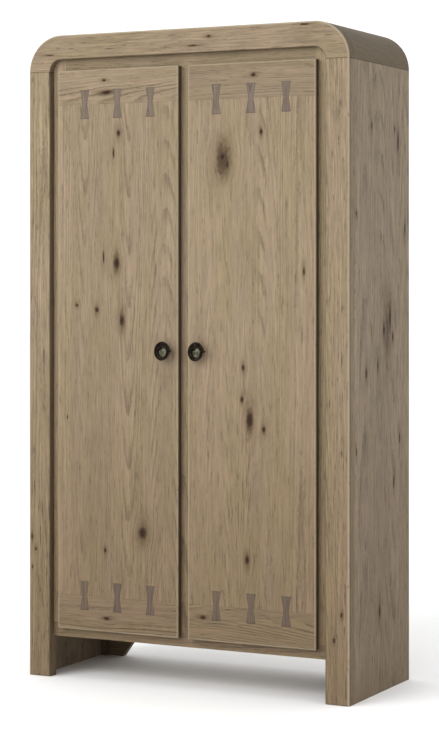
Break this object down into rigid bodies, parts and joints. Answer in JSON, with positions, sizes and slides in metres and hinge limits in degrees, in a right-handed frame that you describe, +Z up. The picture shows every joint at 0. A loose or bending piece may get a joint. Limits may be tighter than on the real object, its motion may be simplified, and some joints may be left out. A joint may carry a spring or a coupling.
{
  "type": "armoire",
  "caption": "Tall wooden armoire with a round-cornered front casing, recessed frame, breadboard doors with butterfly keys and scroll knobs, shelves and a hanging rod.",
  "frame": {"origin": "on the floor, in the middle of the whole object's box, with the knobs counted", "axes": "+Z up, +Y towards the back, +X to the right as seen from the front"},
  "size_m": [1.067, 0.4864, 1.956],
  "materials": {
    "case_wood": "weathered, waxed",
    "key_wood": "darker wood, waxed",
    "inside_wood": "sanded, waxed",
    "back_wood": "sanded",
    "forged_iron": "blackened and waxed",
    "worn_dish": "worn, aged",
    "hinge_steel": "plated",
    "screw_steel": "plated",
    "catch_brown": "moulded"
  },
  "bodies": {
    "carcase": {"back_panel": "back_wood", "bottom_deck": "inside_wood", "case_screws": "screw_steel", "centre_stile": "case_wood", "corner_shell_left": "case_wood", "corner_shell_right": "case_wood", "deck_cleats": "inside_wood", "door_catches": "catch_brown", "face_bottom_rail": "case_wood", "face_stile_left": "case_wood", "face_stile_right": "case_wood", "face_top_rail": "case_wood", "front_arch": "case_wood", "front_leg_left": "case_wood", "front_leg_right": "case_wood", "glue_block_left": "inside_wood", "glue_block_right": "inside_wood", "hanging_rod": "hinge_steel", "hinge_arms_left": "hinge_steel", "hinge_arms_right": "hinge_steel", "hinge_plate_screws_left": "screw_steel", "hinge_plate_screws_right": "screw_steel", "hinge_plates_left": "hinge_steel", "hinge_plates_right": "hinge_steel", "lower_shelf": "inside_wood", "mid_shelf": "inside_wood", "rear_bracket_left": "case_wood", "rear_bracket_right": "case_wood", "rod_sockets": "hinge_steel", "shelf_pins": "hinge_steel", "side_panel_left": "case_wood", "side_panel_right": "case_wood", "top_panel": "case_wood", "top_shelf": "inside_wood"},
    "left_door": {"door_panel_left": "case_wood", "door_top_end_left": "case_wood", "door_bottom_end_left": "case_wood", "door_top_keys_left": "key_wood", "door_bottom_keys_left": "key_wood", "hinge_cups_left": "hinge_steel", "hinge_pins_left": "hinge_steel", "hinge_cup_screws_left": "screw_steel", "knob_scroll_left": "forged_iron", "knob_dish_left": "worn_dish", "knob_stem_left": "forged_iron", "knob_screw_left": "screw_steel", "catch_strike_left": "hinge_steel"},
    "right_door": {"door_panel_right": "case_wood", "door_top_end_right": "case_wood", "door_bottom_end_right": "case_wood", "door_top_keys_right": "key_wood", "door_bottom_keys_right": "key_wood", "hinge_cups_right": "hinge_steel", "hinge_pins_right": "hinge_steel", "hinge_cup_screws_right": "screw_steel", "knob_scroll_right": "forged_iron", "knob_dish_right": "worn_dish", "knob_stem_right": "forged_iron", "knob_screw_right": "screw_steel", "catch_strike_right": "hinge_steel"}
  },
  "joints": [
    {"name": "left_door_hinge", "type": "hinge", "parent": "carcase", "child": "left_door", "pos_m": [-0.4232, -0.1998, 0.99925], "axis": [0, 0, -1], "range_deg": [0, 105]},
    {"name": "right_door_hinge", "type": "hinge", "parent": "carcase", "child": "right_door", "pos_m": [0.4232, -0.1998, 0.99925], "axis": [0, 0, 1], "range_deg": [0, 105]}
  ]
}
